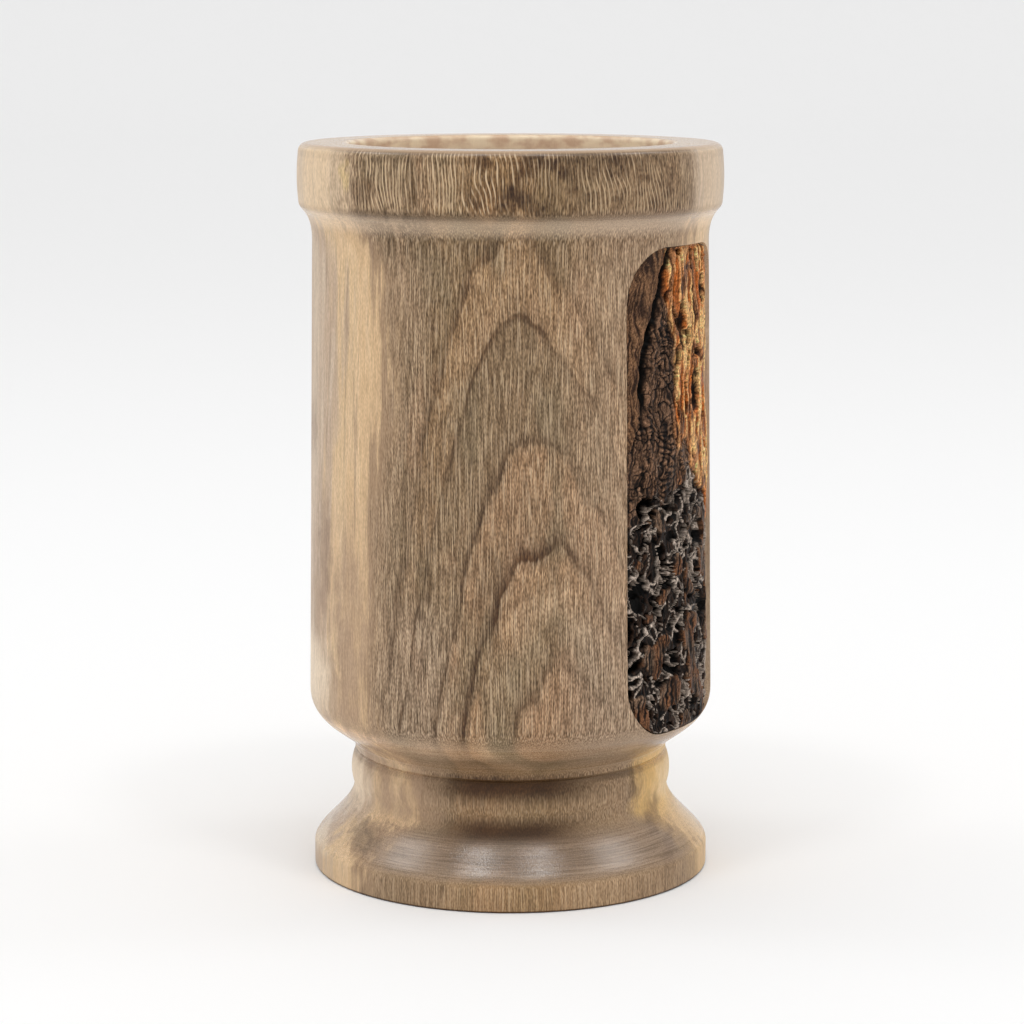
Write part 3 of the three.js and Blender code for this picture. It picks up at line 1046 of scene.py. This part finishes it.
def fibred(at, colour):
    """A colour with fibres, which are short upright strokes paler and darker than it, and the fibres."""
    drift = noise(at.place, (14, 14, 34), detail=1, colour=True)
    lean = moved(at.place, drift, (2.6, 2.6, 0))
    fibre = noise(lean, (0.17, 0.17, 3.4), detail=0)
    strand = noise(lean, (0.7, 0.7, 12), detail=2)
    pore = noise(lean, (0.20, 0.20, 9), detail=0)
    grain = noise(at.place, (0.22, 0.22, 0.8), detail=0)
    shown = fibre_strength(at)
    grain_shown = largest(shown, times(at.cut_across, 0.45))
    colour = layered(
        colour,
        (shown, stroked(fibre, 0.28, 0.72, (0.64, 0.60, 0.56), (1.32, 1.34, 1.37))),
        (grain_shown, stroked(grain, 0.28, 0.72, (0.58, 0.54, 0.50), (1.38, 1.40, 1.44))),
        (shown, stroked(pore, 0.30, 0.62, (0.68, 0.63, 0.57), (1.13, 1.14, 1.16))),
        (shown, stroked(strand, 0.35, 0.65, (0.93, 0.92, 0.91), (1.05, 1.05, 1.05))),
        kind="MULTIPLY",
    )
    pale = times(between(pore, 0.58, 0.72, 0, 0.45), shown)
    return blended(pale, colour, shade(206, 180, 148)), fibre


def year_lines(at, colour):
    """Dark lines at the ends of years, in the heartwood where it isn't cut across."""
    lines = []
    for size, strength, fade_in, fade_out in RING_LINES:
        past = minus(at.ring, size)
        inner = between(past, -fade_in, 0.0, 0, strength)
        lines.append(times(between(past, 0.0, fade_out, 1, 0), inner))
    share = times(
        largest(*lines),
        between(noise(at.place, (9, 9, 14), detail=1), 0.40, 0.55, 0.55, 1.0),
        between(at.x, 3, 18, 1.0, 0.5),
        at.heart,
        times_plus(at.cut_across, -0.85, 1.0),
        between(at.height, 26, 30, 0.15, 1.0),
    )
    return blended(share, colour, RING_LINE_TINT, kind="MULTIPLY")


def rim_lines(at):
    """How strongly the pale lines of the rim's band show. They bend a little, and some are broken."""
    arc = times(calculate("ARCTAN2", at.x, times(at.y, -1)), RIM_LINE_RADIUS)
    bend = times(noise(at.place, (8, 8, 12), detail=1), 5.0)
    phase = times_plus(at.height, 0.10, plus(arc, bend))
    wave = calculate("SINE", times(phase, 2 * math.pi / RIM_LINE_GAP))
    return times(
        between(wave, 0.30, 0.95),
        between(noise(at.place, (0.9, 0.9, 9), detail=1), 0.36, 0.52, 0.1, 1),
        between(noise(at.place, (7, 7, 7), detail=2), 0.36, 0.56, 0.15, 0.95),
        between(at.x, -4, 10, 1.0, 0.6),
    )


def banded(at, colour):
    """The rim's band: browner heartwood, with fine pale lines."""
    low = between(at.height, RIM_CREASE, RIM_CREASE + 1.8)
    band = times(low, between(at.radius, 43.8, 44.6), at.heart)
    blotch = noise(at.place, (4, 4, 4), detail=3, roughness=0.6)
    browned = blended(between(blotch, 0.34, 0.52), (0.42, 0.32, 0.22), (0.92, 0.84, 0.72))
    browned = blended(between(at.x, -14, -4), (1.06, 1.04, 1.02), browned, kind="MULTIPLY")
    browned = blended(between(at.x, -2, 8), browned, (0.73, 0.77, 0.80), kind="MULTIPLY")
    colour = blended(band, colour, browned, kind="MULTIPLY")
    return blended(times(rim_lines(at), band), colour, shade(214, 186, 150))


def sloped(at, colour):
    """Slopes cut across the fibres: greyer, with fine lines round the axis, and less grey where they face
    down, which is painted bounce light. The rim's land is paler.
    """
    around = together(at.radius, times(at.x, 0.03), at.height)
    turned_lines = noise(around, (0.40, 0.40, 0.40), detail=3, roughness=0.7)
    grey = blended(between(turned_lines, 0.36, 0.64), shade(78, 62, 50), shade(158, 138, 121))
    # Downward-facing slopes get less of the darker grey: painted bounce light from the floor.
    share = times(at.slope, times_plus(at.sap, -0.45, 0.6), between(at.upward, -0.2, 0.2, 0.35, 1.0))
    return layered(colour, (share, grey), (times(at.land, 0.75), shade(184, 153, 120)))


def bored(at, colour):
    """The bore: paler near its mouth, and mottled. Part of the paleness is painted light, against the shade
    inside the cup.
    """
    bore = times(between(at.radius, 36.4, 35.4), between(at.height, 60, 70))
    mottle = between(noise(at.place, (5, 5, 3), detail=3), 0.34, 0.62)
    # Pale inner colours, partly painted light against the bore's shade.
    inside = layered(
        blended(mottle, shade(212, 178, 148), shade(250, 230, 198)),
        (between(at.height, 154, 140, 0, 0.7), shade(228, 200, 170)),
        (between(at.height, 156.2, 158.4, 0.25, 0), shade(150, 116, 90)),
    )
    return blended(times(bore, 0.85), colour, inside)


def lit(at, colour):
    """The cove under the rim gets a painted highlight along its middle, brighter and paler, and the
    shoulder gets a brighter painted highlight too.
    """
    left_sap = times(at.sap, between(at.x, 5, -5, 0, -0.6))
    cove = times(
        crease(at.height, COVE_MIDDLE, 2.4, 0.55),
        between(at.x, -5, 20, 1.0, 0.55),
        at.outside,
        plus(left_sap, 1.0),
    )
    colour = brightened(colour, plus(cove, 1.0))
    # Painted highlight: the cove's middle is painted paler.
    cove_highlight = times(crease(at.height, COVE_MIDDLE, 3.0, 0.32), at.outside)
    colour = blended(cove_highlight, colour, shade(200, 184, 166))
    left = between(at.x, 14, -6, 0.3, 1.0)
    shoulder = times(crease(at.height, SHOULDER_MIDDLE, 2.8, 0.42), left)
    return brightened(colour, plus(shoulder, 1.0))


def painted_shade_and_dark_joint(at, colour):
    """Painted shade in the creases, most of all in the middle of the foot's front, a darker band along the
    rim's top, a dark line at the joint of cup and foot, and a painted contact shadow along the base's rim.
    """
    aside = magnitude(at.x)
    under_cup = crease(at.height, BEAD_TOP, 5.0, 1.0)
    foot = largest(under_cup, crease(at.height, BELL_MIDDLE, 4.5, 0.34))
    waist = crease(at.height, WAIST_MIDDLE, 4.4, 0.98)
    rim_top = crease(at.height, RIM_TOP, 1.0, 0.20)
    rim = largest(crease(at.height, RIM_CREASE, 1.2, 0.35), rim_top)
    # Painted shade in the creases under the cup, in the waist and across the bell, darkest in the middle of
    # the foot's front, and along the rim's lower crease; a darker band along the rim's top; and the dark
    # line at the joint of cup and foot.
    share = largest(
        times(foot, between(aside, 25, 7, 0.05, 1)),
        times(waist, between(aside, 22, 5, 0.0, 1)),
        crease(at.height, FOOT_CREASE, 0.9, 0.5),
        times(rim, at.outside),
    )
    share = times(share, between(at.radius, 32, 34), times_plus(at.sap, -0.6, 1.0), minus(1.0, at.land))
    # A painted contact shadow along the base's rim.
    share = largest(share, between(at.height, 0.60, 0.25, 0, 0.97))
    return blended(share, colour, (0.20, 0.13, 0.06), kind="MULTIPLY")


def edge_lit(at, colour):
    """The standing edge is a little brighter in front, and darker to the sides."""
    aside = magnitude(minus(at.x, 8))
    more = minus(between(aside, 12, 24, 1.14, 0.92), 1.0)
    return brightened(colour, times_plus(more, at.edge, 1.0))


def wood_material(name):
    material, tree, inputs = new_material(name)
    at = wood_places(tree)
    colour = blended(at.sap, heart_colour(at), sap_colour(at))
    colour, fibre = fibred(at, marked_and_highlighted(at, colour))
    for finish in (year_lines, banded, sloped, bored, lit, painted_shade_and_dark_joint, edge_lit):
        colour = finish(at, colour)
    put(inputs["Base Color"], colour)
    inputs["Specular IOR Level"].default_value = 0.3
    put(inputs["Roughness"], times_plus(at.slope, -0.26, 0.44))
    bumped(inputs, fibre, 0.05 * MM, 0.4)
    return material


def relief_material(name):
    material, tree, inputs = new_material(name)
    place = billet_place(tree)
    paint = tree.nodes.new("ShaderNodeAttribute")
    paint.attribute_name = "paint"
    fine = noise(place, (0.20, 0.20, 0.5), detail=3, roughness=0.7)
    grit = between(fine, 0.30, 0.70, 0.20, 1.70, linear=True)
    put(inputs["Base Color"], brightened(paint.outputs["Color"], grit))
    inputs["Roughness"].default_value = 0.42
    inputs["Specular IOR Level"].default_value = 0.08
    bumped(inputs, fine, 0.12 * MM, 0.6)
    return material


def studio_material(name, colour):
    material, _, inputs = new_material(name)
    inputs["Base Color"].default_value = (*colour, 1)
    inputs["Roughness"].default_value = 0.9
    inputs["Specular IOR Level"].default_value = 0.0
    return material


# The studio


def make_camera():
    data = bpy.data.cameras.new("camera")
    camera = bpy.data.objects.new("camera", data)
    bpy.context.scene.collection.objects.link(camera)
    data.lens = CAMERA_LENS
    data.sensor_width = CAMERA_SENSOR
    data.shift_x = CAMERA_SHIFT
    data.clip_start = NEAREST_SEEN
    data.clip_end = FURTHEST_SEEN
    camera.location = (
        CAMERA_DISTANCE * math.sin(CAMERA_AZIMUTH),
        -CAMERA_DISTANCE * math.cos(CAMERA_AZIMUTH),
        CAMERA_HEIGHT,
    )
    camera.rotation_euler = (math.pi / 2 - CAMERA_PITCH, 0, CAMERA_AZIMUTH)
    bpy.context.scene.camera = camera


def studio_place(right, towards, up):
    """A place given from the goblet's foot as the camera sees it."""
    sine = math.sin(CAMERA_AZIMUTH)
    cosine = math.cos(CAMERA_AZIMUTH)
    return Vector((right * cosine + towards * sine, right * sine - towards * cosine, up))


def sweep_outline():
    """A white floor that curves up into a low wall all round."""
    edge = 4.0
    wall = 5.0
    wall_height = 1.6
    thickness = 0.05
    return [
        (0, 0),
        (edge, 0),
        *bezier([(edge, 0), (wall, 0), (wall, wall - edge)], LONG_CURVE_STEPS)[1:],
        (wall, wall_height),
        (wall + thickness, wall_height),
        (wall + thickness, -thickness),
        (0, -thickness),
    ]


# Square lamps above the goblet: how far to the right and towards the camera, size, power, and whether
# they show in the gloss alone
LAMP_HEIGHT = 1.0
LAMPS = {
    "over_left": (-0.24, 0.34, 0.12, 0.8, False),
    "over_right": (0.24, 0.34, 0.12, 0.8, False),
    "side_left": (-0.82, -0.21, 0.30, 0.9, False),
    "side_right": (0.82, -0.21, 0.30, 0.9, False),
    "glint_left": (-0.26, 0.36, 0.14, 1.5, True),
    "glint_right": (0.23, 0.40, 0.14, 1.2, True),
    "shine_left": (-0.82, 0.0, 0.30, 2.2, True),
    "shine_right": (0.82, 0.0, 0.30, 2.2, True),
}
LAMP_AIM = Vector((0, 0, 0.08))
GLOW_POWER = 0.28
GLOW_ANGLE = math.radians(30)
SKY_STRENGTH = 0.82


def aimed_light(name, kind, place):
    data = bpy.data.lights.new(name, kind)
    light = bpy.data.objects.new(name, data)
    bpy.context.scene.collection.objects.link(light)
    light.location = place
    light.rotation_euler = (LAMP_AIM - place).to_track_quat("-Z", "Y").to_euler()
    return light, data


def make_studio():
    floor = turned("floor", sweep_outline())
    floor.data.materials.append(studio_material("floor_paint", (0.93, 0.93, 0.93)))
    world = bpy.data.worlds.new("studio")
    bpy.context.scene.world = world
    world.use_nodes = True
    background = world.node_tree.nodes["Background"]
    background.inputs["Color"].default_value = (1, 1, 1, 1)
    background.inputs["Strength"].default_value = SKY_STRENGTH
    for name, (right, towards, size, power, gloss_only) in LAMPS.items():
        lamp, data = aimed_light(name, "AREA", studio_place(right, towards, LAMP_HEIGHT))
        data.shape = "SQUARE"
        data.size = size
        data.energy = power
        lamp.visible_diffuse = not gloss_only
    _, glow = aimed_light("ceiling_glow", "SUN", studio_place(0, 0.3, LAMP_HEIGHT))
    glow.energy = GLOW_POWER
    glow.angle = GLOW_ANGLE


def dress(piece, node, material):
    piece.data.materials.clear()
    piece.data.materials.append(material)
    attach(piece, "root")
    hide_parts(node)


make_camera()
make_studio()
bpy.context.scene.view_settings.view_transform = "Standard"

dress(make_cup(), "cup", wood_material("cup_wood"))
dress(turned("foot_turned", foot_outline()), "foot", wood_material("foot_wood"))
dress(make_panel(), "relief_panel", relief_material("relief_wood"))
